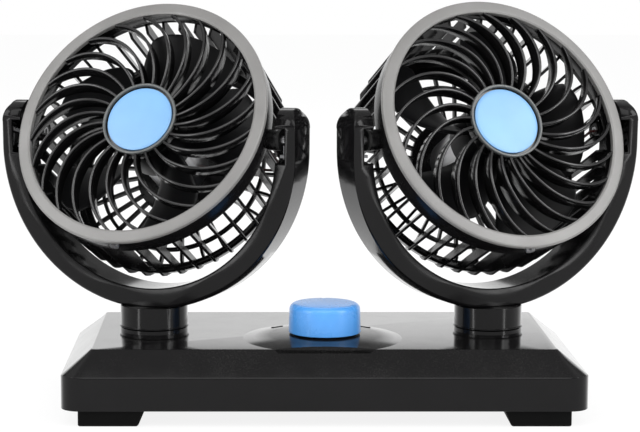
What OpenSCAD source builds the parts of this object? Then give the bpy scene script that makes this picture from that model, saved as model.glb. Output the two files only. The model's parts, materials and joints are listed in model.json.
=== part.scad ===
/* [Base] */
// Width of the flat top
top_w = 198.3; // [180:0.1:220]
// Depth of the flat top
top_d = 92.1; // [84:0.1:98]
// Height of the flat top above the floor
top_z = 31.9; // [29:0.1:38]
// Run of the sloping edge at the left and right ends
slope_run = 13.3; // [9:0.1:16]
// Run of the sloping edge at the front and back
slope_run_front = 9.7; // [7:0.1:13]
// Drop of the sloping edge
slope_drop = 10.7; // [7:0.1:13]
// Radius of the upright corners
corner_r = 9; // [6:0.5:12]
// Wall thickness of the base mouldings
base_wall = 2.4; // [1.8:0.1:3]
// Outer radius of the knob's pedestal
pedestal_r = 34.8; // [30:0.1:37]
// Rise of the pedestal at its middle
pedestal_rise = 2.5; // [2.2:0.1:3.5]
// Distance from the middle of the top forward to the knob
knob_forward = 18.7; // [15:0.1:21]
// Distance of the knob to the right of the middle
knob_x = 1; // [0:0.1:1.5]

/* [Feet] */
// Height of the feet under the bottom plate
foot_h = 7; // [4:0.1:10]
// Width of a foot where it meets the bottom plate
foot_w = 28.5; // [20:0.1:32]
// Slant of a foot's inner side
foot_slant = 3; // [1:0.1:5]
// Gap between a foot and the outline of the base at its end
foot_side_gap = 7.6; // [5:0.1:12]
// Gap between a foot and the outline of the base at its front
foot_front_gap = 2; // [1:0.1:8]
// Radius of the pegs that hold a foot
peg_r = 2.4; // [1.8:0.1:3]

/* [Posts] */
// Gap between the two yokes when both face forward
yoke_spacing = 7; // [5.6:0.1:14]
// Distance of the posts behind the middle of the base
post_back = 1; // [0:0.1:4]
// Radius of a post and its collar
post_r = 15; // [13:0.1:17]
// Height of the collar above the flat top
collar_h = 1.7; // [1.2:0.1:5]
// Height of the post above the collar
post_rise = 10; // [9.6:0.1:10.8]
// Radius of the spigot that turns in the base
spigot_r = 10.95; // [9:0.05:11.5]
// Length of the bearing under the flat top's skin
bearing_h = 2.5; // [1.5:0.1:4]
// Thickness of the retainer under the bearing
retainer_h = 2.2; // [1.6:0.1:3]

/* [Yokes] */
// Width of the yoke from its inside to its outside
yoke_w = 9.2; // [8.6:0.1:9.8]
// Gap between the trim ring's outline and the yoke
head_gap = 3.6; // [3.2:0.1:4.2]
// Depth of the yoke from front to back
yoke_depth = 18.7; // [17:0.1:20]
// How deep the yoke's arc sinks into the top of the post
yoke_sink = 1; // [0.6:0.1:1.3]
// Height of the tilt axis above the centre of the yoke's arc
pivot_rise = 5.4; // [4.6:0.1:6.2]
// Height above the centre of the yoke's arc where the rounded arm ends start
arm_round_rise = 10.2; // [9.2:0.1:12.2]
// Radius of the rounding at the arm's outer top corner
arm_corner_r = 11.5; // [9:0.1:16]
// Wall thickness of the yoke's half shells
yoke_wall = 1.8; // [1.5:0.1:2.2]
// Width of the recess beside the pin
recess_w = 4.2; // [3:0.1:5]
// Bottom of the recess below the tilt axis
recess_below = 9.2; // [7:0.1:11]
// Top of the recess above the tilt axis
recess_above = 5.4; // [4:0.1:7]
// Radius of the pivot pins
pin_r = 1.95; // [1.5:0.05:2.4]
// How far a pin reaches into the yoke's outer wall
pin_seat = 3; // [2:0.1:3.4]

/* [Pose] */
// Turn of each head away from straight ahead
yaw = 22.9; // [0:0.1:30]
// Upward tilt of the left head
left_tilt = 31.3; // [0:0.1:45]
// Upward tilt of the right head
right_tilt = 27.8; // [0:0.1:45]

/* [Trim ring and front grille] */
// How far the trim ring reaches over the housing's band
ring_lip = 1.1; // [0.7:0.1:1.7]
// Width of the trim ring
ring_w = 5.5; // [4.4:0.1:7]
// Distance of the trim ring's back from the tilt axis
ring_back = 13; // [12.4:0.1:13.4]
// Thickness of the trim ring
ring_h = 2.5; // [1.8:0.1:3.2]
// Number of curved bars
bars = 24; // [16:1:30]
// Thickness of a bar
bar_t = 1.3; // [1:0.05:1.7]
// Radius of a bar's curve
bar_curve_r = 28.5; // [27.5:0.1:30]
// Distance from the fan axis to the centre of a bar's curve
bar_curve_offset = 32.2; // [31:0.1:33]
// Angle of the first bar's curve centre
bar_phase = 9.7; // [0:0.1:15]
// Radius of the arch along the bars' front edges
bar_arch_r = 60; // [50:1:90]
// Rise of the arch's crest over the trim ring's back
bar_rise = 5.5; // [4.5:0.1:6.5]
// Depth of the bars' back edges behind the trim ring's back
bar_sink = 1.4; // [0.9:0.1:2.5]
// Outer radius of the hub rim
hub_r = 17.2; // [15:0.1:19]
// Width of the hub rim
hub_rim_w = 1.2; // [0.8:0.1:1.6]
// Gap between the hub rim and the hub cap
hub_gap = 0.9; // [0.3:0.1:3]

/* [Rear housing] */
// Outer radius of the housing at the band
cage_r = 57.3; // [50:0.1:60]
// How much narrower the ribs are at the back than the band
cage_taper = 1.3; // [0.7:0.1:2.3]
// Wall thickness of the band and the hoops
cage_wall = 2; // [1.6:0.1:2.4]
// Number of ribs along the side
ribs = 42; // [30:6:48]
// Number of ribs across the back
back_ribs = 28; // [20:4:32]
// Depth of the side ribs at the back
rib_depth = 4.4; // [2.6:0.1:4.6]
// Thickness of a rib
rib_t = 1.3; // [1:0.05:1.6]
// Height of the ribs over the hoops
rib_proud = 1.6; // [1:0.1:2]
// Distance of the ribs' rear corners behind the tilt axis
shoulder = 28; // [27:0.1:29]
// Distance of the back face behind the ribs' rear corners
back_rise = 10; // [9:0.1:11]
// Radius of the motor plate
motor_plate_r = 22; // [20:0.1:24]
// Radius of the bosses that carry the pivot pins
boss_r = 4.6; // [4:0.1:5]

/* [Motor and impeller] */
// Radius of the motor
motor_r = 13; // [11:0.1:13.2]
// Length of the motor
motor_l = 31.5; // [29:0.1:32]
// Radius of the motor shaft
shaft_r = 1; // [0.8:0.05:1.5]
// Number of blades
blades = 5; // [3:1:7]
// Gap between the blade tips and the side ribs
tip_gap = 1.6; // [1.2:0.1:5.6]
// Wall thickness of the impeller's hub
rotor_wall = 1.5; // [1.2:0.1:2.2]
// Gap between the motor and the inside of the impeller's hub
rotor_gap = 0.8; // [0.5:0.1:1.5]
// Depth of the blades along the fan axis
blade_l = 20; // [16:0.1:20.5]
// Turn of a blade from its back edge to its front edge
blade_turn = 50; // [35:1:55]
// Angle of the middle of the first blade
blade_phase = 61; // [0:1:72]

/* [Control knob] */
// Radius of the knob
knob_r = 15.8; // [13:0.1:17]
// Height of the knob's top above the flat top
knob_rise = 15.5; // [14:0.1:18]
// Rounding at the knob's shoulder
knob_round = 2.8; // [1.5:0.1:3.5]
// Wall thickness of the knob
knob_wall = 1.8; // [1.4:0.1:2.2]
// Radius of the switch shaft
switch_shaft_r = 3; // [2.5:0.1:3.5]

/* [Clearances] */
// Radial running clearance of turning fits
run_gap = 0.05; // [0.03:0.01:0.08]
// Gap between faces that turn past each other
face_gap = 0.35; // [0.3:0.05:0.5]
// Gap around parts that only slip together
slip_gap = 0.1; // [0.05:0.01:0.2]

/* [Hidden] */
LEFT = -1;
RIGHT = 1;
$fn = 96;
// Overlap that joins or cuts cleanly past a face
eps = 0.1;

// Outline of the base
base_w = top_w + 2*slope_run;
base_d = top_d + 2*slope_run_front;
wall_top_z = top_z - slope_drop;

// Radii of a head, from the housing's band inwards and outwards
cage_back_r = cage_r - cage_taper;
rib_inner_r = cage_back_r - rib_depth;
tip_r = rib_inner_r - tip_gap;
ring_outer_r = cage_r + ring_lip;
ring_inner_r = ring_outer_r - ring_w;
yoke_inner_r = ring_outer_r + head_gap;
yoke_outer_r = yoke_inner_r + yoke_w;
post_pitch = 2*yoke_outer_r + yoke_spacing;

// Place of the base under the heads
left_axis_y = cos(left_tilt)*cos(yaw);
cage_rear_y = post_back + shoulder*left_axis_y + cage_back_r*sqrt(1 - left_axis_y*left_axis_y);
base_y = (base_d/2 - cage_rear_y)/2;
knob_y = base_y - knob_forward;
post_x = post_pitch/2;
post_y = base_y + post_back;
plate_top_z = foot_h + base_wall;
skin_z = top_z - base_wall;
pedestal_sphere_r = pedestal_r*pedestal_r/(2*pedestal_rise);
plate_inset = base_wall + slip_gap;

// Heights down a post
seam_z = top_z + collar_h;
post_top_z = seam_z + post_rise;
arc_z = post_top_z + yoke_outer_r - yoke_sink;
pivot_z = arc_z + pivot_rise;
arm_round_z = arc_z + arm_round_rise;
bearing_z = skin_z - bearing_h;
retainer_top_z = bearing_z - face_gap;
retainer_z = retainer_top_z - retainer_h;
lip_r = post_r + 0.5;
lip_h = 0.6;
wire_hole_r = 2.5;
retainer_r = spigot_r + 1.6;
lug_w = 1.9;
lug_l = 2.4;

// Space inside a yoke
channel_outer_r = yoke_outer_r - yoke_wall;
channel_inner_r = yoke_inner_r + yoke_wall;
channel_half = yoke_depth/2 - yoke_wall;
recess_z = pivot_z - recess_below;
tongue_w = 10;
tongue_head_w = 16;
tongue_top_z = arc_z - channel_inner_r - 2.4;
yoke_boss_r = 2.3;
yoke_boss_at = channel_inner_r + 1.9;
arm_lead_r = 0.5;
arm_lead_at = channel_outer_r - 0.8;
yoke_screw_angles = [-60, -16, 16, 60];
arm_screw_z = arm_round_z + 4.4;
pin_end = yoke_inner_r + recess_w + pin_seat;

// Front of the housing
band_back = 3;
step_back = ring_back - 0.6;
skirt_r = cage_r - cage_wall - slip_gap;
skirt_back = 8;
bar_crest = ring_back + bar_rise;
bar_back = ring_back - bar_sink;
hub_face = ring_back + 2;
hub_rim_top = hub_face + 1.9;
hub_cap_r = hub_r - hub_rim_w - hub_gap;
cap_edge = hub_face + 1;
cap_rise = 0.4;

// Back of the housing
motor_plate_h = 2.5;
back_depth = shoulder + back_rise;
motor_back = motor_plate_h - back_depth;
motor_front = motor_back + motor_l;
back_edge_r = cage_back_r - rib_proud;
shoulder_w = 7.9;
back_window_r = back_edge_r - shoulder_w;
boss_start = back_edge_r - 0.8;
boss_end = yoke_inner_r - 1.6;
blade_back = -13;
rotor_hub_r = motor_r + rotor_gap + rotor_wall;
rotor_back = -10;
rotor_front = 8;
shaft_end = 4;
shaft_start = motor_back + 5.5;

// Knob and switch
switch_w = 18;
switch_h = 11;
bush_r = 4.4;
nut_seat_z = top_z + pedestal_rise - 0.8;
nut_h = 1.8;
bush_top_z = nut_seat_z + nut_h + 0.6;
knob_bottom_z = pedestal_height(knob_r - knob_wall) + face_gap;
knob_top_z = top_z + knob_rise;
shaft_top_z = knob_top_z - knob_wall;
shaft_bottom_z = skin_z - switch_h + 3;

// Screws
screw_r = 1.1;
screw_head_r = 2;
screw_head_h = 1.3;
pilot_gap = 0.05;

// Cable inlet
inlet_r = 2.6;
inlet_z = 15;
inlet_groove_r = inlet_r + 1.5;
inlet_flange_r = inlet_r + 2.6;

// Height of the pedestal's surface at a distance from the knob's axis
function pedestal_height(r) = top_z + pedestal_rise - r*r/(2*pedestal_sphere_r);

// Outline of the base in one direction, inset by a wall of thickness t. Its slopes, which run inwards by
// slope_drop/steep, go on to a height of top
function slope_outline(half, steep, t, bottom, top) = [
  [-half + t, bottom],
  [half - t, bottom],
  [half - t, wall_top_z + t*steep - t*sqrt(1 + steep*steep)],
  [half - t*sqrt(1 + steep*steep)/steep - (top - wall_top_z)/steep, top],
  [-half + t*sqrt(1 + steep*steep)/steep + (top - wall_top_z)/steep, top],
  [-half + t, wall_top_z + t*steep - t*sqrt(1 + steep*steep)]
];

function head_tilt(side) = side == LEFT ? left_tilt : right_tilt;
function rib_phase(side) = side == LEFT ? 2.8 : 5.4;

// A point on the yoke's arc, as an angle from straight down
function on_arc(r, angle) = [r*sin(angle), arc_z - r*cos(angle)];

module at_post(side) {
  translate([side*post_x, post_y, 0]) rotate([0, 0, side*yaw]) children();
}

module at_head(side) {
  at_post(side) translate([0, 0, pivot_z]) rotate([90 - head_tilt(side), 0, 0]) children();
}

// Turns a shape drawn in X and Y so that it stands in X and Z, from y = -d/2 to d/2
module stand(d) {
  rotate([90, 0, 0]) translate([0, 0, -d/2]) linear_extrude(d) children();
}

module rounded_rect(w, d, r) {
  square([w - 2*r, d], center = true);
  square([w, d - 2*r], center = true);
  for (x = [-1, 1], y = [-1, 1]) translate([x*(w/2 - r), y*(d/2 - r)]) circle(r);
}

module tube(r_out, r_in, h) {
  difference() {
    cylinder(r = r_out, h = h);
    translate([0, 0, -eps]) cylinder(r = r_in, h = h + 2*eps);
  }
}

// Round disc of radius r whose top falls away from its middle like a sphere
module dome(r, sphere_r, bottom, top) {
  bands = 8;
  rotate_extrude() polygon(concat(
    [[0, bottom], [r, bottom]],
    [for (i = [bands : -1 : 0]) [i*r/bands, top - pow(i*r/bands, 2)/(2*sphere_r)]]
  ));
}

// Pan head screw: the head's seat is at z = 0 and the shank goes down
module screw(length) {
  difference() {
    union() {
      cylinder(r = screw_head_r, h = screw_head_h);
      translate([0, 0, -length]) cylinder(r = screw_r, h = length + eps);
    }
    for (a = [0, 90]) rotate([0, 0, a]) translate([0, 0, screw_head_h]) cube([2.4, 0.5, 1.2], center = true);
  }
}

// Insulated lead through a list of points, with a small ball at each bend
module lead(points, r) {
  for (i = [0 : len(points) - 2]) {
    step = points[i + 1] - points[i];
    length = norm(step);
    translate(points[i]) rotate([0, acos(step[2]/length), atan2(step[1], step[0])]) cylinder(r = r, h = length);
  }
  for (i = [1 : len(points) - 2]) translate(points[i]) sphere(r = 1.1*r);
}

// Cuts a tall shape to the upright walls and the four slopes of the base, inset by t
module base_limits(t, bottom, top) {
  intersection() {
    children();
    translate([0, base_y, bottom]) linear_extrude(top) rounded_rect(base_w - 2*t, base_d - 2*t, corner_r - t);
    translate([0, base_y, 0]) stand(base_d + 2*eps)
      polygon(slope_outline(base_w/2, slope_drop/slope_run, t, bottom, top));
    translate([0, base_y, 0]) rotate([0, 0, 90]) stand(base_w + 2*eps)
      polygon(slope_outline(base_d/2, slope_drop/slope_run_front, t, bottom, top));
  }
}

// Solid form of the base with the low dome under the knob, which the front slope cuts off
module outer_form() {
  base_limits(0, foot_h, top_z + pedestal_rise + 1) union() {
    translate([-base_w, base_y - base_d, 0]) cube([2*base_w, 2*base_d, top_z]);
    translate([0, knob_y, 0]) dome(pedestal_r + 1, pedestal_sphere_r, top_z - 1, top_z + pedestal_rise);
  }
}

module inner_form() {
  base_limits(base_wall, foot_h - eps, skin_z) translate([-base_w, base_y - base_d, 0])
    cube([2*base_w, 2*base_d, top_z]);
}

// Places of the screws that hold the base plate
module base_screw_places() {
  for (x = [-1, 1], y = [-1, 1]) translate([x*base_w*0.27, base_y + y*(base_d/2 - 16), 0]) children();
}

module foot_peg_places(side) {
  for (y = [-1, 1]) translate([side*(base_w/2 - foot_side_gap - foot_w/2), base_y + y*base_d*0.27, 0]) children();
}

module base_shell() {
  tick_r = 29.2;
  color("#1b1b1e") {
    difference() {
      union() {
        difference() {
          outer_form();
          inner_form();
        }
        for (side = [LEFT, RIGHT]) translate([side*post_x, post_y, 0]) {
          translate([0, 0, bearing_z]) cylinder(r = post_r, h = seam_z - bearing_z);
          translate([-lug_w/2, retainer_r + 0.4, retainer_z]) cube([lug_w, lug_l, skin_z - retainer_z + eps]);
        }
        base_screw_places() translate([0, 0, plate_top_z]) cylinder(r = 4, h = skin_z - plate_top_z + eps);
        for (a = [-42, 42]) translate([0, knob_y, 0]) rotate([0, 0, a])
          translate([0, tick_r, pedestal_height(tick_r) - 0.6]) linear_extrude(0.9) square([6, 1.4], center = true);
      }
      for (side = [LEFT, RIGHT]) translate([side*post_x, post_y, bearing_z - eps])
        cylinder(r = spigot_r + run_gap, h = seam_z);
      translate([knob_x, knob_y, foot_h]) cylinder(r = bush_r + slip_gap, h = top_z);
      translate([knob_x, knob_y, nut_seat_z]) cylinder(r = bush_r + 3.4, h = 4);
      base_screw_places() translate([0, 0, plate_top_z - eps]) cylinder(r = screw_r + pilot_gap, h = 9);
      translate([0, base_y + base_d/2, inlet_z]) rotate([90, 0, 0])
        cylinder(r = inlet_groove_r + slip_gap, h = 2*base_wall, center = true);
    }
  }
}

module base_plate() {
  color("#232326") difference() {
    translate([0, base_y, foot_h]) linear_extrude(base_wall)
      rounded_rect(base_w - 2*plate_inset, base_d - 2*plate_inset, corner_r - plate_inset);
    base_screw_places() translate([0, 0, foot_h - eps]) {
      cylinder(r = screw_head_r + 0.3, h = screw_head_h + eps);
      cylinder(r = screw_r + slip_gap, h = base_wall + 2*eps);
    }
    for (side = [LEFT, RIGHT]) foot_peg_places(side) translate([0, 0, foot_h - eps])
      cylinder(r = peg_r + slip_gap, h = base_wall + 2*eps);
  }
}

module foot(side) {
  outer = base_w/2 - foot_side_gap;
  length = base_d - 2*foot_front_gap;
  color("#141414") {
    translate([0, base_y, 0]) stand(length) polygon([
      [side*(outer - foot_w + foot_slant), 0],
      [side*outer, 0],
      [side*outer, foot_h],
      [side*(outer - foot_w), foot_h]
    ]);
    foot_peg_places(side) translate([0, 0, foot_h - eps]) cylinder(r = peg_r, h = base_wall + 0.8);
  }
}

module base_screws() {
  color("silver") base_screw_places() translate([0, 0, foot_h + screw_head_h]) rotate([180, 0, 0]) screw(8.5);
}

module switch_body() {
  color("#3a3a3a") difference() {
    union() {
      translate([knob_x - switch_w/2, knob_y - switch_w/2, skin_z - switch_h]) cube([switch_w, switch_w, switch_h]);
      translate([knob_x, knob_y, skin_z - eps]) cylinder(r = bush_r, h = bush_top_z - skin_z + eps);
      for (x = [-5, 0, 5]) translate([knob_x + x - 1, knob_y + switch_w/2 - 3, skin_z - switch_h - 3])
        cube([2, 0.8, 3 + eps]);
    }
    translate([knob_x, knob_y, shaft_bottom_z - face_gap]) cylinder(r = switch_shaft_r + run_gap, h = switch_h + 20);
  }
}

module switch_nut() {
  color("silver") translate([knob_x, knob_y, nut_seat_z]) difference() {
    cylinder(r = bush_r + 2.6, h = nut_h, $fn = 6);
    translate([0, 0, -eps]) cylinder(r = bush_r + pilot_gap, h = nut_h + 2*eps);
  }
}

module switch_shaft() {
  color("silver") translate([knob_x, knob_y, shaft_bottom_z])
    cylinder(r = switch_shaft_r, h = shaft_top_z - shaft_bottom_z);
}

module knob() {
  height = knob_top_z - knob_bottom_z;
  stem_bottom = bush_top_z + face_gap;
  color("#5b9fe8") translate([knob_x, knob_y, 0]) difference() {
    union() {
      difference() {
        translate([0, 0, knob_bottom_z]) rotate_extrude() {
          square([knob_r - knob_round, height]);
          square([knob_r, height - knob_round]);
          translate([knob_r - knob_round, height - knob_round]) circle(knob_round);
        }
        translate([0, 0, knob_bottom_z - eps])
          cylinder(r = knob_r - knob_wall, h = height - knob_wall + eps);
      }
      translate([0, 0, stem_bottom]) cylinder(r = switch_shaft_r + 2.2, h = knob_top_z - knob_wall/2 - stem_bottom);
    }
    translate([0, 0, stem_bottom - eps])
      cylinder(r = switch_shaft_r, h = knob_top_z - knob_wall - stem_bottom + eps);
    translate([-0.8, knob_r - 3.6, knob_top_z - 0.7]) cube([1.6, 5, 3]);
  }
}

module speed_resistor() {
  length = 22;
  width = 9.5;
  height = 9;
  tag = 1.2;
  from_knob = 24;
  from_middle = 18;
  color("#cfc9b8") translate([from_knob, base_y + from_middle, plate_top_z]) {
    cube([length, width, height]);
    for (x = [-2, length - eps]) translate([x, (width - tag)/2, (height - tag)/2]) cube([2 + eps, tag, tag]);
  }
}

module wire_harness() {
  harness_r = 1;
  low_z = plate_top_z + harness_r + 0.2;
  terminal_y = knob_y + switch_w/2 + 1.4;
  color("#7d2420") {
    for (side = [LEFT, RIGHT]) lead([
      [side*post_x, post_y, retainer_z - 1.5],
      [side*post_x, post_y, low_z],
      [side*16, terminal_y + 6, low_z],
      [knob_x + side*5, terminal_y, skin_z - switch_h - 1.6]
    ], harness_r);
    lead([
      [knob_x, terminal_y, skin_z - switch_h - 1.6],
      [knob_x, terminal_y + 8, low_z],
      [6, base_y + base_d/2 - 14, low_z],
      [6, base_y + base_d/2 - 10, inlet_z]
    ], harness_r);
  }
}

module cable_grommet() {
  color("#101010") translate([0, base_y + base_d/2, inlet_z]) rotate([-90, 0, 0]) difference() {
    union() {
      cylinder(r = inlet_flange_r, h = 1.5);
      translate([0, 0, -base_wall - eps]) cylinder(r = inlet_groove_r, h = base_wall + 2*eps);
      translate([0, 0, -base_wall - 1.5]) cylinder(r = inlet_flange_r, h = 1.5);
    }
    translate([0, 0, -base_wall - 2]) cylinder(r = inlet_r, h = base_wall + 4);
  }
}

module swivel_post(side) {
  neck = tongue_w/2;
  color("#1b1b1e") at_post(side) difference() {
    union() {
      difference() {
        union() {
          translate([0, 0, seam_z + face_gap]) cylinder(r = post_r, h = post_top_z - seam_z - face_gap);
          translate([0, 0, seam_z + face_gap]) cylinder(r = lip_r, h = lip_h);
        }
        translate([0, 0, arc_z]) rotate([90, 0, 0])
          cylinder(r = yoke_outer_r + slip_gap, h = yoke_depth + 2*slip_gap, center = true);
      }
      translate([0, 0, retainer_top_z]) cylinder(r = spigot_r, h = seam_z - retainer_top_z + 2);
      translate([-neck, -neck, seam_z + 1]) cube([tongue_w, tongue_w, tongue_top_z - seam_z - 1]);
      translate([-tongue_head_w/2, -neck, tongue_top_z - 2.2]) cube([tongue_head_w, tongue_w, 2.2]);
    }
    translate([0, 0, retainer_z]) cylinder(r = wire_hole_r, h = tongue_top_z);
    for (x = [-1, 1]) translate([x*(spigot_r + wire_hole_r)/2, 0, retainer_top_z - eps])
      cylinder(r = screw_r + pilot_gap, h = 7);
  }
}

module swivel_retainer(side) {
  color("#8c8c90") at_post(side) difference() {
    union() {
      translate([0, 0, retainer_z]) cylinder(r = retainer_r, h = retainer_h);
      translate([-lug_w/2, -retainer_r - lug_l, retainer_z]) cube([lug_w, lug_l + 2, retainer_h]);
    }
    translate([0, 0, retainer_z - eps]) cylinder(r = wire_hole_r, h = retainer_h + 2*eps);
    for (x = [-1, 1]) translate([x*(spigot_r + wire_hole_r)/2, 0, retainer_z - eps])
      cylinder(r = screw_r + slip_gap, h = retainer_h + 2*eps);
  }
}

module retainer_screws(side) {
  color("silver") at_post(side) for (x = [-1, 1]) translate([x*(spigot_r + wire_hole_r)/2, 0, retainer_z])
    rotate([180, 0, 0]) screw(8);
}

// Front view of the yoke: half ring below, straight arms with rounded outer corners above
module yoke_outline() {
  arm_top = arm_round_z + yoke_depth/2;
  corner_x = yoke_outer_r - arm_corner_r;
  difference() {
    union() {
      translate([0, arc_z]) circle(yoke_outer_r, $fn = 180);
      translate([-yoke_outer_r, arc_z]) square([2*yoke_outer_r, arm_round_z + 0.7 - arc_z]);
      intersection() {
        translate([-yoke_outer_r, arm_round_z]) square([2*yoke_outer_r, arm_top - arm_round_z + eps]);
        for (s = [-1, 1]) translate([s*corner_x, arm_round_z + 0.7]) circle(arm_corner_r);
      }
    }
    translate([0, arc_z]) circle(yoke_inner_r, $fn = 180);
    translate([-yoke_inner_r, arc_z]) square([2*yoke_inner_r, yoke_outer_r]);
    translate([-yoke_outer_r, arm_top]) square([2*yoke_outer_r, yoke_outer_r]);
  }
}

// Side view of the yoke: flat sides with half-round arm ends
module yoke_side() {
  translate([-yoke_depth/2, 0]) square([yoke_depth, arm_round_z]);
  translate([0, arm_round_z]) circle(yoke_depth/2);
}

// Space for the leads, from the tongue up to the recess in each arm
module yoke_channel() {
  stand(2*channel_half) difference() {
    translate([0, arc_z]) circle(channel_outer_r, $fn = 180);
    translate([0, arc_z]) circle(channel_inner_r, $fn = 180);
    translate([-yoke_outer_r, recess_z]) square([2*yoke_outer_r, yoke_outer_r]);
  }
}

// Places of the yoke's screws, with z pointing out of the back
module yoke_screw_places() {
  for (a = yoke_screw_angles) translate([on_arc(yoke_boss_at, a)[0], 0, on_arc(yoke_boss_at, a)[1]])
    rotate([-90, 0, 0]) children();
  for (s = [-1, 1]) translate([s*(yoke_inner_r + yoke_outer_r)/2 - s*0.8, 0, arm_screw_z])
    rotate([-90, 0, 0]) children();
}

// Whole yoke before it is split, with its screw bosses and pin bores
module yoke_body() {
  difference() {
    union() {
      difference() {
        intersection() {
          stand(yoke_depth) yoke_outline();
          rotate([90, 0, 90]) translate([0, 0, -yoke_outer_r - 1]) linear_extrude(2*yoke_outer_r + 2) yoke_side();
        }
        yoke_channel();
      }
      for (a = yoke_screw_angles) translate([on_arc(yoke_boss_at, a)[0], 0, on_arc(yoke_boss_at, a)[1]])
        rotate([90, 0, 0]) cylinder(r = yoke_boss_r, h = 2*channel_half + eps, center = true);
    }
    for (s = [-1, 1]) translate([s*(yoke_inner_r - 1), 0, pivot_z]) rotate([0, s*90, 0])
      cylinder(r = pin_r + run_gap, h = pin_end - yoke_inner_r + 1 + face_gap);
    translate([-tongue_w/2 - slip_gap, -tongue_w/2 - slip_gap, arc_z - yoke_outer_r - 1])
      cube([tongue_w + 2*slip_gap, tongue_w + 2*slip_gap, yoke_outer_r - channel_outer_r + 3]);
  }
}

module yoke_front(side) {
  color("#1b1b1e") at_post(side) difference() {
    intersection() {
      yoke_body();
      translate([-yoke_outer_r - 1, -yoke_depth, 0]) cube([2*yoke_outer_r + 2, yoke_depth, 2*arc_z]);
    }
    for (s = [-1, 1]) translate([s*(yoke_inner_r + recess_w/2 - 0.5), -yoke_depth/2, recess_z])
      translate([-recess_w/2 - 0.5, -eps, 0]) cube([recess_w + 1, yoke_depth/2 + 2*eps, recess_below + recess_above]);
    yoke_screw_places() translate([0, 0, -channel_half]) cylinder(r = screw_r + pilot_gap, h = channel_half + 1);
  }
}

module yoke_back(side) {
  color("#1b1b1e") at_post(side) difference() {
    intersection() {
      yoke_body();
      translate([-yoke_outer_r - 1, 0, 0]) cube([2*yoke_outer_r + 2, yoke_depth, 2*arc_z]);
    }
    yoke_screw_places() {
      translate([0, 0, -1]) cylinder(r = screw_r + slip_gap, h = yoke_depth);
      translate([0, 0, channel_half - 0.2]) cylinder(r = screw_head_r + slip_gap, h = yoke_depth);
    }
  }
}

module yoke_screws(side) {
  color("silver") at_post(side) yoke_screw_places() translate([0, 0, channel_half - 0.2]) screw(12);
}

module pivot_clips(side) {
  clip_w = recess_w - 1.2;
  clip_top = pivot_z - pin_r - face_gap;
  color("#9a9a9c") at_post(side) for (s = [-1, 1])
    translate([s*(yoke_inner_r + recess_w/2 + 0.1) - clip_w/2, 0, 0]) {
      translate([0, -1.2, recess_z + 1]) cube([clip_w, 1.2, clip_top - recess_z - 1]);
      translate([0, -5, recess_z + 2]) cube([clip_w, 3.8 + eps, 1.2]);
    }
}

module arm_lead(side) {
  start = asin(13.5/arm_lead_at);
  lift = tongue_top_z + 1.2;
  color("#7d2420") at_post(side) {
    translate([0, 0, arc_z]) rotate([90, 0, 0]) rotate([0, 0, -90 + start])
      rotate_extrude(angle = 82 - start) translate([arm_lead_at, 0]) circle(arm_lead_r);
    lead([
      [0, 0, retainer_top_z],
      [0, 0, lift],
      [9, 0, lift],
      [on_arc(arm_lead_at, start)[0], 0, on_arc(arm_lead_at, start)[1]]
    ], arm_lead_r);
    translate([on_arc(arm_lead_at, start)[0], 0, on_arc(arm_lead_at, start)[1]]) sphere(r = 1.1*arm_lead_r);
  }
}

module trim_ring(side) {
  edge = 0.6;
  color("#9b9b9d") at_head(side) rotate_extrude() polygon([
    [ring_inner_r, ring_back],
    [ring_outer_r, ring_back],
    [ring_outer_r, ring_back + ring_h - edge],
    [ring_outer_r - edge, ring_back + ring_h],
    [ring_inner_r + edge/2, ring_back + ring_h],
    [ring_inner_r, ring_back + ring_h - edge/2]
  ]);
}

// One curved bar seen from the front, bending counter-clockwise outwards
module bar_plan() {
  intersection() {
    translate([bar_curve_offset, 0]) difference() {
      circle(bar_curve_r + bar_t/2);
      circle(bar_curve_r - bar_t/2);
    }
    translate([0, -2*cage_r]) square([2*cage_r, 2*cage_r]);
  }
}

// Side view of a bar against the distance from the fan axis, from inside the cup to inside the skirt
module bar_profile() {
  middle_r = (hub_r + ring_inner_r)/2 - 2.5;
  sunk = 0.3;
  difference() {
    translate([hub_r - 1, bar_back]) square([skirt_r - cage_wall/2 - hub_r + 1, bar_crest]);
    difference() {
      translate([0, bar_back]) square([2*cage_r, 2*bar_crest]);
      translate([middle_r, bar_crest - bar_arch_r]) circle(bar_arch_r);
    }
    translate([0, hub_face - sunk]) square([hub_r + slip_gap, bar_crest]);
    translate([ring_inner_r - slip_gap, ring_back - sunk]) square([cage_r, bar_crest]);
  }
}

module front_grille(side) {
  cup_wall = 1.6;
  color("#1b1b1e") at_head(side) {
    for (i = [0 : bars - 1]) rotate([0, 0, bar_phase + i*360/bars]) intersection() {
      linear_extrude(2*bar_crest) bar_plan();
      rotate_extrude() bar_profile();
    }
    rotate_extrude() {
      translate([skirt_r - cage_wall, skirt_back]) square([cage_wall, ring_back - skirt_back]);
      translate([skirt_r - cage_wall, step_back]) square([cage_r - skirt_r + cage_wall, ring_back - step_back]);
    }
    rotate_extrude() {
      translate([hub_r - cup_wall, bar_back - 0.6]) square([cup_wall, hub_face - bar_back + 0.6]);
      translate([0, hub_face - cup_wall]) square([hub_r, cup_wall]);
    }
  }
}

module hub_rim(side) {
  edge = 0.4;
  color("#b9b9bb") at_head(side) rotate_extrude() polygon([
    [hub_r - hub_rim_w, hub_face],
    [hub_r, hub_face],
    [hub_r, hub_rim_top - edge],
    [hub_r - edge, hub_rim_top],
    [hub_r - hub_rim_w + edge, hub_rim_top],
    [hub_r - hub_rim_w, hub_rim_top - edge]
  ]);
}

module hub_cap(side) {
  dome_r = (hub_cap_r*hub_cap_r + cap_rise*cap_rise)/(2*cap_rise);
  color("#86c1ee") at_head(side) dome(hub_cap_r, dome_r, hub_face, cap_edge + cap_rise);
}

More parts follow.
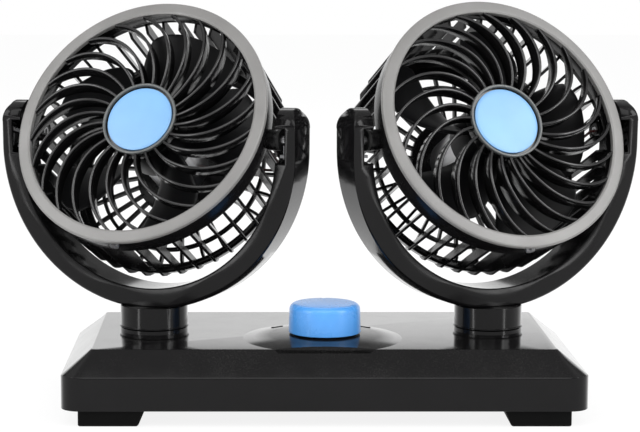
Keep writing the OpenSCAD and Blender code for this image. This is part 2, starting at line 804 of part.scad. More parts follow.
// Side view of one side rib, from the band to the rounded shoulder at the back
module side_rib_profile() {
  polygon([
    [cage_r - cage_wall, band_back + 1],
    [cage_r, band_back + 1],
    [cage_back_r, -shoulder],
    [back_edge_r, -shoulder - 3.4],
    [back_edge_r - 2.8, 2.4 - back_depth],
    [back_edge_r - 5.1, 0.6 - back_depth],
    [back_edge_r - 5.1, 3.4 - back_depth],
    [rib_inner_r - 0.6, 5.4 - back_depth],
    [rib_inner_r, -shoulder - 1.5],
    [rib_inner_r, band_back - 1]
  ]);
}

// Side view of one back rib, from the motor plate to the shoulder ring
module back_rib_profile() {
  polygon([
    [motor_plate_r - 1, 0.3 - back_depth],
    [back_window_r + 0.8, 0.3 - back_depth],
    [back_window_r + 0.8, 1.8 - back_depth],
    [back_window_r - 1, 3 - back_depth],
    [motor_plate_r - 1, 3 - back_depth]
  ]);
}

// Half section of the rounded ring between the side windows and the back windows
module shoulder_profile() {
  polygon([
    [back_edge_r, 2.4 - shoulder],
    [back_edge_r, -shoulder],
    [back_edge_r - 1.5, -shoulder - 4.3],
    [back_edge_r - 4.2, 2.2 - back_depth],
    [back_window_r, -back_depth],
    [back_window_r, 2.2 - back_depth],
    [back_edge_r - 5.5, 3.7 - back_depth],
    [back_edge_r - 3.3, -shoulder - 3.4],
    [back_edge_r - cage_wall, 0.4 - shoulder],
    [back_edge_r - cage_wall, 2.4 - shoulder]
  ]);
}

// Places a side view of a rib at an angle around the fan axis
module rib_at(angle) {
  rotate([0, 0, angle]) rotate([90, 0, 0]) translate([0, 0, -rib_t/2]) linear_extrude(rib_t) children();
}

module rear_housing(side) {
  back_hoop_r = 40.2;
  back_hoop_w = 1.6;
  color("#1b1b1e") at_head(side) difference() {
    union() {
      translate([0, 0, band_back]) tube(cage_r, cage_r - cage_wall, step_back - band_back);
      rotate_extrude() shoulder_profile();
      translate([0, 0, 0.5 - back_depth]) tube(back_hoop_r, back_hoop_r - back_hoop_w, 2);
      translate([0, 0, -back_depth]) cylinder(r = motor_plate_r, h = motor_plate_h);
      for (i = [0 : ribs - 1]) rib_at(rib_phase(side) + i*360/ribs) side_rib_profile();
      for (i = [0 : back_ribs - 1]) rib_at(i*360/back_ribs) back_rib_profile();
      for (s = [-1, 1]) translate([s*boss_start, 0, 0]) rotate([0, s*90, 0])
        cylinder(r = boss_r, h = boss_end - boss_start);
    }
    for (s = [-1, 1]) translate([s*(boss_start - 1), 0, 0]) rotate([0, s*90, 0]) cylinder(r = pin_r, h = yoke_inner_r);
    for (y = [-1, 1]) translate([0, y*8, -back_depth - eps]) {
      cylinder(r = screw_head_r + slip_gap, h = screw_head_h + eps);
      cylinder(r = screw_r + slip_gap, h = motor_plate_h + 2*eps);
    }
    translate([0, -cage_r + cage_wall + 1, (skirt_back + step_back)/2]) rotate([90, 0, 0])
      cylinder(r = screw_r + slip_gap, h = cage_wall + 3);
  }
}

module grille_screw(side) {
  color("silver") at_head(side) translate([0, -cage_r, (skirt_back + step_back)/2]) rotate([90, 0, 0]) screw(2);
}

module pivot_pins(side) {
  color("#6f6f72") at_head(side) for (s = [-1, 1]) translate([s*boss_start, 0, 0]) rotate([0, s*90, 0])
    tube(pin_r, 1, pin_end - boss_start);
}

module pivot_washers(side) {
  color("#2a2a2a") at_head(side) for (s = [-1, 1]) translate([s*boss_end, 0, 0]) rotate([0, s*90, 0])
    tube(boss_r, pin_r + slip_gap, yoke_inner_r - boss_end - face_gap);
}

module motor(side) {
  color("#a8a8ac") at_head(side) difference() {
    union() {
      translate([0, 0, motor_back]) cylinder(r = motor_r, h = motor_l);
      translate([0, 0, motor_front - eps]) cylinder(r = 4, h = 1.4 + eps);
    }
    translate([0, 0, shaft_start - face_gap]) cylinder(r = shaft_r + run_gap, h = motor_l + 5);
    for (y = [-1, 1]) translate([0, y*8, motor_back - eps]) cylinder(r = screw_r + pilot_gap, h = 5);
  }
}

module motor_screws(side) {
  color("silver") at_head(side) for (y = [-1, 1]) translate([0, y*8, screw_head_h - back_depth])
    rotate([180, 0, 0]) screw(5.5);
}

module motor_lead(side) {
  lead_r = 0.6;
  inside = boss_start - 1.7;
  color("#7d2420") at_head(side) lead([
    [motor_r + 0.02, 0, -back_depth + 6.5],
    [inside - 5, 0, -back_depth + 6.5],
    [inside, 0, -22],
    [inside, 0, 0],
    [boss_start, 0, 0]
  ], lead_r);
}

// One blade in plan before it is mirrored: a strip that bends forwards as it goes outwards
module blade_plan() {
  bend_r = 60;
  intersection() {
    rotate([0, 0, -14]) translate([0, bend_r]) difference() {
      circle(bend_r + 1.7, $fn = 72);
      circle(bend_r - 1.7, $fn = 72);
    }
    difference() {
      circle(tip_r, $fn = 90);
      circle(rotor_hub_r - 0.8, $fn = 40);
    }
    translate([0, -tip_r]) square([tip_r, 2*tip_r]);
  }
}

module impeller(side) {
  color("#17171a") at_head(side) {
    mirror([0, 1, 0]) for (i = [0 : blades - 1]) rotate([0, 0, blade_phase + blade_turn/2 + i*360/blades])
      translate([0, 0, blade_back]) linear_extrude(blade_l, twist = blade_turn, slices = 12, $fn = 24) blade_plan();
    difference() {
      union() {
        difference() {
          translate([0, 0, rotor_back]) cylinder(r = rotor_hub_r, h = rotor_front - rotor_back);
          translate([0, 0, rotor_back - eps])
            cylinder(r = rotor_hub_r - rotor_wall, h = rotor_front - rotor_back - rotor_wall + eps);
        }
        translate([0, 0, motor_front + 1.4 + face_gap])
          cylinder(r = 3.5, h = rotor_front - rotor_wall/2 - motor_front - 1.4 - face_gap);
      }
      translate([0, 0, motor_front]) cylinder(r = shaft_r, h = shaft_end - motor_front);
    }
  }
}

module motor_shaft(side) {
  color("silver") at_head(side) translate([0, 0, shaft_start]) cylinder(r = shaft_r, h = shaft_end - shaft_start);
}

base_shell();
base_plate();
foot(LEFT);  // left_foot
foot(RIGHT);  // right_foot
base_screws();
switch_body();
switch_nut();
switch_shaft();
knob();
speed_resistor();
wire_harness();
cable_grommet();
swivel_post(LEFT);  // left_swivel_post
swivel_retainer(LEFT);  // left_swivel_retainer
retainer_screws(LEFT);  // left_retainer_screws
yoke_front(LEFT);  // left_yoke_front
yoke_back(LEFT);  // left_yoke_back
yoke_screws(LEFT);  // left_yoke_screws
pivot_clips(LEFT);  // left_pivot_clips
arm_lead(LEFT);  // left_arm_lead
trim_ring(LEFT);  // left_trim_ring
front_grille(LEFT);  // left_front_grille
hub_rim(LEFT);  // left_hub_rim
hub_cap(LEFT);  // left_hub_cap
rear_housing(LEFT);  // left_rear_housing
grille_screw(LEFT);  // left_grille_screw
pivot_pins(LEFT);  // left_pivot_pins
pivot_washers(LEFT);  // left_pivot_washers
motor(LEFT);  // left_motor
motor_screws(LEFT);  // left_motor_screws
motor_lead(LEFT);  // left_motor_lead
impeller(LEFT);  // left_impeller
motor_shaft(LEFT);  // left_motor_shaft
swivel_post(RIGHT);  // right_swivel_post
swivel_retainer(RIGHT);  // right_swivel_retainer
retainer_screws(RIGHT);  // right_retainer_screws
yoke_front(RIGHT);  // right_yoke_front
yoke_back(RIGHT);  // right_yoke_back
yoke_screws(RIGHT);  // right_yoke_screws
pivot_clips(RIGHT);  // right_pivot_clips
arm_lead(RIGHT);  // right_arm_lead
trim_ring(RIGHT);  // right_trim_ring
front_grille(RIGHT);  // right_front_grille
hub_rim(RIGHT);  // right_hub_rim
hub_cap(RIGHT);  // right_hub_cap
rear_housing(RIGHT);  // right_rear_housing
grille_screw(RIGHT);  // right_grille_screw
pivot_pins(RIGHT);  // right_pivot_pins
pivot_washers(RIGHT);  // right_pivot_washers
motor(RIGHT);  // right_motor
motor_screws(RIGHT);  // right_motor_screws
motor_lead(RIGHT);  // right_motor_lead
impeller(RIGHT);  // right_impeller
motor_shaft(RIGHT);  // right_motor_shaft
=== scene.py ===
import json
from math import acos, asin, cos, hypot, pi, radians, sin, sqrt, tan

import bmesh
import bpy
from mathutils import Matrix, Vector

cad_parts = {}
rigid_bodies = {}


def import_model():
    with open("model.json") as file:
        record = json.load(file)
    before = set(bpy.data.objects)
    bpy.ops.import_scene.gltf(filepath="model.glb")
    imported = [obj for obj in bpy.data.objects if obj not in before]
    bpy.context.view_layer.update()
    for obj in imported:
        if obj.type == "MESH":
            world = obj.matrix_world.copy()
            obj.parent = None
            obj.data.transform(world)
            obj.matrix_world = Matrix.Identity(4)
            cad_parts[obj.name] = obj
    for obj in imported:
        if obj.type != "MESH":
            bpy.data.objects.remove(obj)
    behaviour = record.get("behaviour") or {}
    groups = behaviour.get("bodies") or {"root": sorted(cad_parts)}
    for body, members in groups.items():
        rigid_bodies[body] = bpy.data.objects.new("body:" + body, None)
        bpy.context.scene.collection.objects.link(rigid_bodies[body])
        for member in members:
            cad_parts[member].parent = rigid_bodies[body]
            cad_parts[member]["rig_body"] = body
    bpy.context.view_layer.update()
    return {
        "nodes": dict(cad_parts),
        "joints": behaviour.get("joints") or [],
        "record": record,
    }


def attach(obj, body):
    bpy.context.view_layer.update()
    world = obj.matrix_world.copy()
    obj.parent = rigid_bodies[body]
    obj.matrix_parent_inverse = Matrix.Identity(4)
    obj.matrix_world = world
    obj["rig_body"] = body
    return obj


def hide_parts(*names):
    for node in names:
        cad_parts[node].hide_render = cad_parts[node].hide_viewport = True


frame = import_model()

# Lengths are in millimetres up to the point where a mesh is made.
MM = 0.001
SIDES = ("left", "right")
scene = bpy.context.scene
scene.view_settings.view_transform = "Standard"

# Sizes of the object, as in the part's source
TOP_W, TOP_D, TOP_Z = 198.3, 92.1, 31.9
SIDE_RUN, FRONT_RUN, SLOPE_DROP = 13.3, 9.7, 10.7
POST_R, POST_BACK, SEAM_Z, SPIGOT_R, COLLAR_LOW_Z = 15, 1, 33.6, 10.95, 27
YOKE_OUTER_R, YOKE_DEPTH, ARC_Z = 71.2, 18.7, 113.8
ARM_CORNER_R, ARM_CORNER_X, ARM_CORNER_Z = 11.5, 59.7, 124.7
RING_OUTER_R, RING_INNER_R, RING_BACK, RING_H = 58.4, 52.9, 13, 2.5
BARS, BAR_T, BAR_CURVE_R, BAR_CURVE_OFFSET, BAR_PHASE = 24, 1.3, 28.5, 32.2, 9.7
BAR_ARCH_R, BAR_CREST, BAR_BACK = 60, 18.5, 11.6
HUB_R, HUB_RIM_W, HUB_FACE, HUB_RIM_TOP, HUB_CAP_R = 17.2, 1.2, 15, 16.9, 15.1
CAP_EDGE, CAP_RISE = 16, 0.4
CAGE_R, CAGE_BACK_R, CAGE_WALL, BAND_BACK, STEP_BACK = 57.3, 56, 2, 3, 12.4
SKIRT_R, SKIRT_BACK = 55.2, 8
RIBS, BACK_RIBS, RIB_T, SHOULDER, BACK_DEPTH, PLATE_R = 42, 28, 1.3, 28, 38, 22
RIB_PHASE = {"left": 2.8, "right": 5.4}
EDGE_R, WINDOW_R, RIB_INNER_R, HOOP_R, HOOP_W = 54.4, 46.5, 51.6, 40.2, 1.6
BOSS_R, BOSS_START, BOSS_END, PIN_R = 4.6, 53.6, 60.4, 1.95
BLADES, TIP_R, ROTOR_R, BLADE_L, BLADE_TURN, BLADE_PHASE = 5, 50, 15.3, 20, 50, 61
BLADE_BACK, BLADE_BEND_R, BLADE_LEAN, BLADE_TIP_ROUND = -13, 60, -14, 7
KNOB_R, KNOB_TOP_Z, KNOB_LOW_Z, KNOB_ROUND, KNOB_WALL = 15.8, 47.4, 34.6, 2.8, 1.8
FOOT_H, BASE_WALL, BASE_CORNER_R, SLOPE_CORNER_R, INLET_R, INLET_Z = 7, 2.4, 9, 1.4, 4.2, 15
PEDESTAL_R, PEDESTAL_RISE, WELL_R, TICK_ANGLE, TICK_R = 34.8, 2.5, 7.8, 42, 29.2
MOTOR_PLATE_T, MOTOR_SCREW_Y = 2.5, 8

# Rounding that this script adds to the solids' edges
FOOT_ROUND, POST_ROUND, YOKE_FACE_ROUND = 0.9, 0.22, 0.8
YOKE_SIDE_ROUND, YOKE_TOP_ROUND, TAPER_FROM_Z, TAPER_RUN = 1.7, 0.6, 96, 24
SHARP_FROM = 24
WIDEST_ROUND = YOKE_SIDE_ROUND


# Places

joints = {j["name"]: j for j in frame["joints"]}


def place_of(origin, x_axis, z_axis):
    """Place with a given origin, X and Z."""
    place = Matrix((x_axis, z_axis.cross(x_axis), z_axis)).transposed().to_4x4()
    place.translation = origin
    return place


post_place, head_place = {}, {}
for side in SIDES:
    tilt, swivel = joints[side + "_tilt"], joints[side + "_swivel"]
    across, forward = -Vector(tilt["axis"]), Vector(joints[side + "_fan_spin"]["axis"])
    foot = Vector(swivel["pos_m"])
    foot.z = 0
    post_place[side] = place_of(foot, across, Vector((0, 0, 1)))
    head_place[side] = place_of(Vector(tilt["pos_m"]), across, forward)
HERE = Matrix.Identity(4)


# Camera, as fitted to the photograph

camera = bpy.data.objects.new("camera", bpy.data.cameras.new("camera"))
scene.collection.objects.link(camera)
scene.camera = camera
camera.location = (-0.03033, -0.91358, 0.20099)
camera.rotation_euler = (radians(82.6), 0, 0)
camera.data.lens = 116.387
camera.data.shift_x, camera.data.shift_y = 0.1043, 0.0028
camera.data.clip_start, camera.data.clip_end = 0.01, 50


# Shader nodes

class Tree:
    """Adds nodes to one node tree. An input is a value or the socket that feeds it."""

    def __init__(self, tree):
        self.tree = tree

    def add(self, kind, inputs=None, out=0, **settings):
        node = self.tree.nodes.new("ShaderNode" + kind)
        for name, value in settings.items():
            setattr(node, name, value)
        for key, value in (inputs or {}).items():
            if isinstance(value, bpy.types.NodeSocket):
                self.tree.links.new(value, node.inputs[key])
            else:
                node.inputs[key].default_value = value
        return node.outputs[out] if node.outputs else None

    def math(self, operation, a, b=0.0, clamp=False):
        return self.add("Math", {0: a, 1: b}, operation=operation, use_clamp=clamp)

    def noise(self, vector, scale, detail=2.0, roughness=0.5):
        return self.add("TexNoise", {"Vector": vector, "Scale": scale, "Detail": detail, "Roughness": roughness})

    def ramp(self, value, low, high, to_low=0.0, to_high=1.0):
        return self.add("MapRange", {0: value, 1: low, 2: high, 3: to_low, 4: to_high}, clamp=True)

    def stretched(self, vector, scale):
        return self.add("Mapping", {"Vector": vector, "Scale": scale})

    def mix(self, factor, a, b):
        return self.add("Mix", {0: factor, 6: a, 7: b}, out=2, data_type="RGBA")


def effect(name, inputs, outputs, build):
    """A node group that gives masks and heights, shared by the materials."""
    tree = bpy.data.node_groups.new(name, "ShaderNodeTree")
    for label, value in inputs.items():
        tree.interface.new_socket(label, in_out="INPUT", socket_type="NodeSocketFloat").default_value = value
    for label in outputs:
        tree.interface.new_socket(label, in_out="OUTPUT", socket_type="NodeSocketFloat")
    given = tree.nodes.new("NodeGroupInput").outputs
    made = build(Tree(tree), given)
    end = tree.nodes.new("NodeGroupOutput")
    for label, socket in made.items():
        tree.links.new(socket, end.inputs[label])
    return tree


def moulded_grain(t, given):
    """Fine spark grain of a mould and the slow waves of shrinking plastic, as a height in metres."""
    spot = t.add("TexCoord", out="Object")
    fine = t.math("SUBTRACT", t.noise(spot, given["Grain scale"], 3.0, 0.6), 0.5)
    slow = t.math("SUBTRACT", t.noise(spot, given["Wave scale"], 1.0), 0.5)
    grain, waves = t.math("MULTIPLY", fine, given["Grain depth"]), t.math("MULTIPLY", slow, given["Wave depth"])
    return {"Height": t.math("ADD", grain, waves)}


def handling_marks(t, given):
    """Patches and faint wiping streaks where the gloss is lower."""
    spot = t.add("TexCoord", out="Object")
    patches = t.ramp(t.noise(spot, given["Patch scale"], 4.0, 0.62), 0.42, 0.72)
    streaks = t.ramp(t.noise(t.stretched(spot, (1.0, 9.0, 5.0)), given["Streak scale"], 2.0, 0.5), 0.5, 0.8)
    total = t.math("ADD", t.math("MULTIPLY", patches, 0.65), t.math("MULTIPLY", streaks, 0.35))
    return {"Mask": t.math("MULTIPLY", total, given["Amount"], clamp=True)}


def edge_wear(t, given):
    """Rubbed edges: where the surface turns within the radius, broken up by noise."""
    soft = t.add("Bevel", {"Radius": given["Radius"]}, samples=4)
    turn = t.add("VectorMath", {0: soft, 1: t.add("NewGeometry", out="Normal")}, out="Value", operation="DOT_PRODUCT")
    edge = t.ramp(turn, 0.995, 0.86)
    broken = t.ramp(t.noise(t.add("TexCoord", out="Object"), given["Break scale"], 3.0), 0.35, 0.62)
    return {"Mask": t.math("MULTIPLY", t.math("MULTIPLY", edge, broken), given["Amount"], clamp=True)}


def settled_dust(t, given):
    """Thin dust on what faces up."""
    up = t.add("SeparateXYZ", {0: t.add("NewGeometry", out="Normal")}, out="Z")
    flat = t.ramp(up, 0.3, 1.0)
    spot = t.add("TexCoord", out="Object")
    specks = t.ramp(t.noise(spot, given["Speck scale"], 2.0, 0.7), 0.5, 0.75)
    clouds = t.ramp(t.noise(spot, 35.0, 3.0), 0.3, 0.75)
    return {"Mask": t.math("MULTIPLY", t.math("MULTIPLY", flat, given["Amount"]),
                           t.math("MULTIPLY", specks, clouds), clamp=True)}


def turning_lines(t, given):
    """Fine lines left by drawing or turning metal, as a height in metres."""
    spot = t.stretched(t.add("TexCoord", out="Object"), (1.0, 1.0, 24.0))
    lines = t.noise(spot, given["Line scale"], 2.0, 0.6)
    return {"Height": t.math("MULTIPLY", t.math("SUBTRACT", lines, 0.5), given["Line depth"])}


grain_group = effect("moulded_grain", {"Grain scale": 2600.0, "Grain depth": 3e-6, "Wave scale": 60.0,
                                       "Wave depth": 1e-6}, ["Height"], moulded_grain)
marks_group = effect("handling_marks", {"Patch scale": 70.0, "Streak scale": 90.0, "Amount": 1.0}, ["Mask"],
                     handling_marks)
wear_group = effect("edge_wear", {"Radius": 0.0006, "Break scale": 240.0, "Amount": 0.3}, ["Mask"], edge_wear)
dust_group = effect("settled_dust", {"Speck scale": 1500.0, "Amount": 0.1}, ["Mask"], settled_dust)
lines_group = effect("turning_lines", {"Line scale": 900.0, "Line depth": 4e-6}, ["Height"], turning_lines)


def place_group(t, group, out, **values):
    """One output of a shared effect, with an underscore for each space in an input's name."""
    node = t.tree.nodes.new("ShaderNodeGroup")
    node.node_tree = group
    for name, value in values.items():
        node.inputs[name.replace("_", " ")].default_value = value
    return node.outputs[out]


def rgba(colour):
    return (*colour, 1.0)


DUST_COLOUR, DUST_ROUGHNESS, MOTTLE_SCALE = (0.42, 0.40, 0.37, 1.0), 0.5, 45.0
GLAZE_FROM, GLAZE_TO, GLAZE_ROUGHNESS = 0.5, 0.8, 0.07


def finish_of(slot, colour, worn, rough, rough_marked, specular=0.5, grain=2600.0, grain_depth=2.5e-6,
              wave_depth=1e-6, wear=0.25, dust=0.06, metallic=0.0, lines=0.0, glaze=0.0, mottle=0.12,
              satin=None):
    """Material of one slot: its colour, how it wears, its gloss and its texture.

    glaze is a clear coat that shows at flat angles, and satin the centre, radius and end of a spot without it.
    """
    material = bpy.data.materials.new(slot)
    material.use_nodes = True
    material.node_tree.nodes.clear()
    t = Tree(material.node_tree)
    marks = place_group(t, marks_group, "Mask")
    rubbed = place_group(t, wear_group, "Mask", Amount=wear)
    dusty = place_group(t, dust_group, "Mask", Amount=dust)
    spot = t.add("TexCoord", out="Object")
    shade = t.ramp(t.noise(spot, MOTTLE_SCALE, 3.0, 0.55), 0.3, 0.7, 1.0 - mottle, 1.0 + mottle)
    own = t.add("VectorMath", {0: colour, "Scale": shade}, operation="SCALE")
    aged = t.mix(rubbed, own, rgba(worn))
    seen = t.mix(dusty, aged, DUST_COLOUR)
    gloss = t.ramp(marks, 0.0, 1.0, rough, rough_marked)
    gloss = t.math("ADD", gloss, t.math("MULTIPLY", dusty, DUST_ROUGHNESS), clamp=True)
    height = place_group(t, grain_group, "Height", Grain_scale=grain, Grain_depth=grain_depth, Wave_depth=wave_depth)
    if lines:
        height = t.math("ADD", height, place_group(t, lines_group, "Height", Line_depth=lines))
    normal = t.add("Bump", {"Strength": 1.0, "Distance": 1.0, "Height": height})
    surface = {"Base Color": seen, "Roughness": gloss, "Metallic": metallic, "Specular IOR Level": specular,
               "Normal": normal}
    if glaze:
        facing = t.add("LayerWeight", {"Blend": 0.5}, out="Facing")
        coat = t.ramp(facing, GLAZE_FROM, GLAZE_TO, 0.0, glaze)
        if satin:
            centre, near, far = satin
            away = t.add("VectorMath", {0: spot, 1: centre}, out="Value", operation="DISTANCE")
            coat = t.math("MULTIPLY", coat, t.ramp(away, near, far))
        surface["Coat Weight"] = coat
        surface["Coat Roughness"] = GLAZE_ROUGHNESS
        surface["Coat Normal"] = normal
    surface = t.add("BsdfPrincipled", surface)
    t.add("OutputMaterial", {"Surface": surface})
    return material


BLACK = (0.0042, 0.0040, 0.0043)
BY_THE_KNOB = (0.001, -0.0196, 0.033), 0.024, 0.031
finishes = {
    "black_plastic": finish_of("black_plastic", BLACK, (0.03, 0.03, 0.032), 0.13, 0.24, specular=0.2, glaze=0.85,
                               wear=0.12, satin=BY_THE_KNOB),
    "dull_black_plastic": finish_of("dull_black_plastic", (0.010, 0.010, 0.011), (0.04, 0.04, 0.042), 0.5, 0.6,
                                    grain=1500.0, grain_depth=1.2e-5),
    "foot_rubber": finish_of("foot_rubber", (0.0015, 0.0015, 0.0015), (0.008, 0.008, 0.008), 0.5, 0.65, specular=0.08,
                             grain=1800.0, grain_depth=1.0e-5, dust=0.03),
    "zinc_steel": finish_of("zinc_steel", (0.62, 0.62, 0.64), (0.75, 0.75, 0.76), 0.28, 0.42, metallic=1.0,
                            lines=3e-6, grain_depth=1e-6, wear=0.4, dust=0.0),
    "switch_case": finish_of("switch_case", (0.03, 0.03, 0.032), (0.07, 0.07, 0.07), 0.55, 0.65,
                             grain_depth=8e-6),
    "blue_plastic": finish_of("blue_plastic", (0.072, 0.29, 0.70), (0.18, 0.44, 0.85), 0.26, 0.38, grain=1900.0,
                              grain_depth=4e-6, dust=0.02, mottle=0.05, glaze=0.3),
    "ceramic": finish_of("ceramic", (0.62, 0.58, 0.48), (0.75, 0.72, 0.65), 0.7, 0.85, grain=900.0,
                         grain_depth=3e-5),
    "lead_sleeve": finish_of("lead_sleeve", (0.06, 0.007, 0.005), (0.1, 0.02, 0.016), 0.4, 0.5, wear=0.1),
    "clip_steel": finish_of("clip_steel", (0.3, 0.3, 0.31), (0.5, 0.5, 0.5), 0.34, 0.5, metallic=1.0, lines=4e-6,
                            dust=0.02),
    "ring_grey": finish_of("ring_grey", (0.165, 0.162, 0.158), (0.4, 0.4, 0.39), 0.3, 0.42, grain=3200.0,
                           grain_depth=5e-6, mottle=0.1, wear=0.3),
    "rim_grey": finish_of("rim_grey", (0.07, 0.075, 0.075), (0.3, 0.3, 0.3), 0.2, 0.32, grain=3000.0,
                          grain_depth=3e-6, mottle=0.05, wear=0.5),
    "cap_blue": finish_of("cap_blue", (0.15, 0.33, 0.58), (0.4, 0.6, 0.85), 0.28, 0.36, grain=2200.0,
                          grain_depth=4e-6, dust=0.02, mottle=0.06),
    "grille_black": finish_of("grille_black", BLACK, (0.06, 0.06, 0.062), 0.16, 0.28, specular=0.6, wear=0.35),
    "housing_black": finish_of("housing_black", BLACK, (0.04, 0.04, 0.042), 0.2, 0.34, specular=0.2, glaze=0.4,
                               wear=0.15),
    "pin_steel": finish_of("pin_steel", (0.45, 0.45, 0.46), (0.7, 0.7, 0.7), 0.25, 0.4, metallic=1.0, lines=3e-6,
                           dust=0.02),
    "washer_rubber": finish_of("washer_rubber", (0.02, 0.02, 0.02), (0.05, 0.05, 0.05), 0.6, 0.7, specular=0.3),
    "motor_case": finish_of("motor_case", (0.55, 0.55, 0.56), (0.7, 0.7, 0.7), 0.3, 0.45, metallic=1.0, lines=5e-6,
                            dust=0.02),
    "impeller_black": finish_of("impeller_black", (0.005, 0.005, 0.0055), (0.03, 0.03, 0.032), 0.3, 0.42,
                                specular=0.14, dust=0.02),
}


# Meshes

def eased(corners, steps=4):
    """Closed outline from corners given as (x, z, radius of the rounding)."""
    loop = []
    for i, (x, z, radius) in enumerate(corners):
        here = Vector((x, z))
        if radius <= 0:
            loop.append((x, z))
            continue
        back = Vector(corners[i - 1][:2]) - here
        on = Vector(corners[(i + 1) % len(corners)][:2]) - here
        half = back.angle(on)/2
        reach = min(radius/tan(half), 0.49*back.length, 0.49*on.length)
        radius = reach*tan(half)
        centre = here + (back.normalized() + on.normalized()).normalized()*radius/sin(half)
        start, end = here + back.normalized()*reach - centre, here + on.normalized()*reach - centre
        turn = start.angle_signed(end)
        for k in range(steps + 1):
            arm = start.copy()
            arm.rotate(Matrix.Rotation(-turn*k/steps, 2))
            loop.append(tuple(centre + arm))
    return loop


def lathe(loop, count=144):
    """Ring from a closed outline of (radius, height). Points on the axis become poles."""
    points, faces, rows = [], [], []
    for r, z in loop:
        if r < 1e-6:
            rows.append([len(points)]*count)
            points.append((0, 0, z))
        else:
            rows.append(list(range(len(points), len(points) + count)))
            points += [(r*cos(2*pi*j/count), r*sin(2*pi*j/count), z) for j in range(count)]
    for i, row in enumerate(rows):
        following = rows[(i + 1) % len(rows)]
        if len(set(row)) == 1 and len(set(following)) == 1:
            continue
        for j in range(count):
            k = (j + 1) % count
            corner = [row[j], row[k], following[k], following[j]]
            faces.append([c for n, c in enumerate(corner) if c not in corner[:n]])
    return points, faces


def sweep(sections):
    """Closed skin over a row of sections, each a loop of points."""
    size = len(sections[0])
    points = [p for section in sections for p in section]
    faces = [[s*size + i, s*size + (i + 1) % size, (s + 1)*size + (i + 1) % size, (s + 1)*size + i]
             for s in range(len(sections) - 1) for i in range(size)]
    faces += [list(range(size)), list(range(len(points) - size, len(points)))]
    return points, faces


def inset(loop, amount):
    """The same outline moved inwards, for outlines that go round counter-clockwise."""
    moved = []
    for i, here in enumerate(loop):
        here = Vector(here)
        back, on = here - Vector(loop[i - 1]), Vector(loop[(i + 1) % len(loop)]) - here
        a, b = Vector((-back.y, back.x)).normalized(), Vector((-on.y, on.x)).normalized()
        bisector = (a + b).normalized()
        moved.append(tuple(here + bisector*amount/max(0.35, bisector.dot(a))))
    return moved


def plate(loop, low, high, ease=0.25):
    """Plate with eased edges: an outline in X and Y, thick from low to high along Z."""
    inner = inset(loop, ease)
    layers = [(inner, low), (loop, low + ease), (loop, high - ease), (inner, high)]
    return sweep([[(x, y, z) for x, y in outline] for outline, z in layers])


def turned(shell, matrix):
    """The same shell in another place."""
    points, faces = shell
    return [tuple(matrix @ Vector(p)) for p in points], faces


def about_z(degree):
    return Matrix.Rotation(radians(degree), 4, "Z")


def settle(mesh, angle):
    """Outward faces, smooth shading and sharp edges above an angle."""
    shape = bmesh.new()
    shape.from_mesh(mesh)
    bmesh.ops.remove_doubles(shape, verts=shape.verts, dist=1e-7)
    bmesh.ops.recalc_face_normals(shape, faces=shape.faces)
    shape.to_mesh(mesh)
    shape.free()
    mesh.polygons.foreach_set("use_smooth", [True]*len(mesh.polygons))
    mesh.set_sharp_from_angle(angle=radians(angle))


def show(name, mesh, slot, body, stands_for):
    """Puts a mesh in the scene in place of the CAD nodes that it stands for."""
    piece = bpy.data.objects.new(name, mesh)
    scene.collection.objects.link(piece)
    mesh.materials.clear()
    mesh.materials.append(finishes[slot])
    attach(piece, body)
    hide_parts(*stands_for)
    return piece


def build(name, shells, place, slot, body, stands_for, angle=32):
    """One piece from shells of points in millimetres in their own place."""
    points, faces = [], []
    for shell_points, shell_faces in shells:
        first = len(points)
        points += shell_points
        faces += [[first + i for i in face] for face in shell_faces]
    mesh = bpy.data.meshes.new(name)
    mesh.from_pydata([place @ (Vector(p)*MM) for p in points], [], faces)
    settle(mesh, angle)
    return show(name, mesh, slot, body, stands_for)


def carved(shell, *cutters):
    """A closed shell with others taken out of it."""
    made = []
    for points, faces in (shell, *cutters):
        mesh = bpy.data.meshes.new("blank")
        mesh.from_pydata(points, [], faces)
        settle(mesh, 30)
        made.append(bpy.data.objects.new("blank", mesh))
        scene.collection.objects.link(made[-1])
    for cutter in made[1:]:
        knife = made[0].modifiers.new("cut", "BOOLEAN")
        knife.operation, knife.solver, knife.object = "DIFFERENCE", "EXACT", cutter
    bpy.context.view_layer.update()
    result = made[0].evaluated_get(bpy.context.evaluated_depsgraph_get()).data
    rest = [tuple(v.co) for v in result.vertices], [list(f.vertices) for f in result.polygons]
    for blank in made:
        bpy.data.objects.remove(blank)
    return rest


def soften(node, name, place, widths, angle=32):
    """A copy of a CAD node with its sharp edges rounded by what widths says of an edge's middle and ends."""
    source = frame["nodes"][node]
    shape = bmesh.new()
    shape.from_mesh(source.data)
    bmesh.ops.remove_doubles(shape, verts=shape.verts, dist=1e-6)
    bmesh.ops.dissolve_limit(shape, angle_limit=radians(0.15), verts=shape.verts, edges=shape.edges)
    back, weight = place.inverted(), shape.edges.layers.float.new("bevel_weight_edge")
    for edge in shape.edges:
        if edge.is_manifold and edge.calc_face_angle(0) > radians(SHARP_FROM):
            start, end = (back @ v.co/MM for v in edge.verts)
            edge[weight] = widths((start + end)/2, start, end)/WIDEST_ROUND
    blank = bpy.data.objects.new("blank", bpy.data.meshes.new("blank"))
    shape.to_mesh(blank.data)
    shape.free()
    scene.collection.objects.link(blank)
    round_off = blank.modifiers.new("round_off", "BEVEL")
    round_off.width, round_off.limit_method, round_off.segments = WIDEST_ROUND*MM, "WEIGHT", 3
    round_off.use_clamp_overlap = False
    bpy.context.view_layer.update()
    mesh = bpy.data.meshes.new_from_object(blank.evaluated_get(bpy.context.evaluated_depsgraph_get()))
    bpy.data.objects.remove(blank)
    settle(mesh, angle)
    slot = next(s["material_slot"] for s in frame["record"]["subparts"] if s["node"] == node)
    return show(name, mesh, slot, source["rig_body"], [node])


# Base

CORNER_STEPS, CORNER_REACH = 20, 18


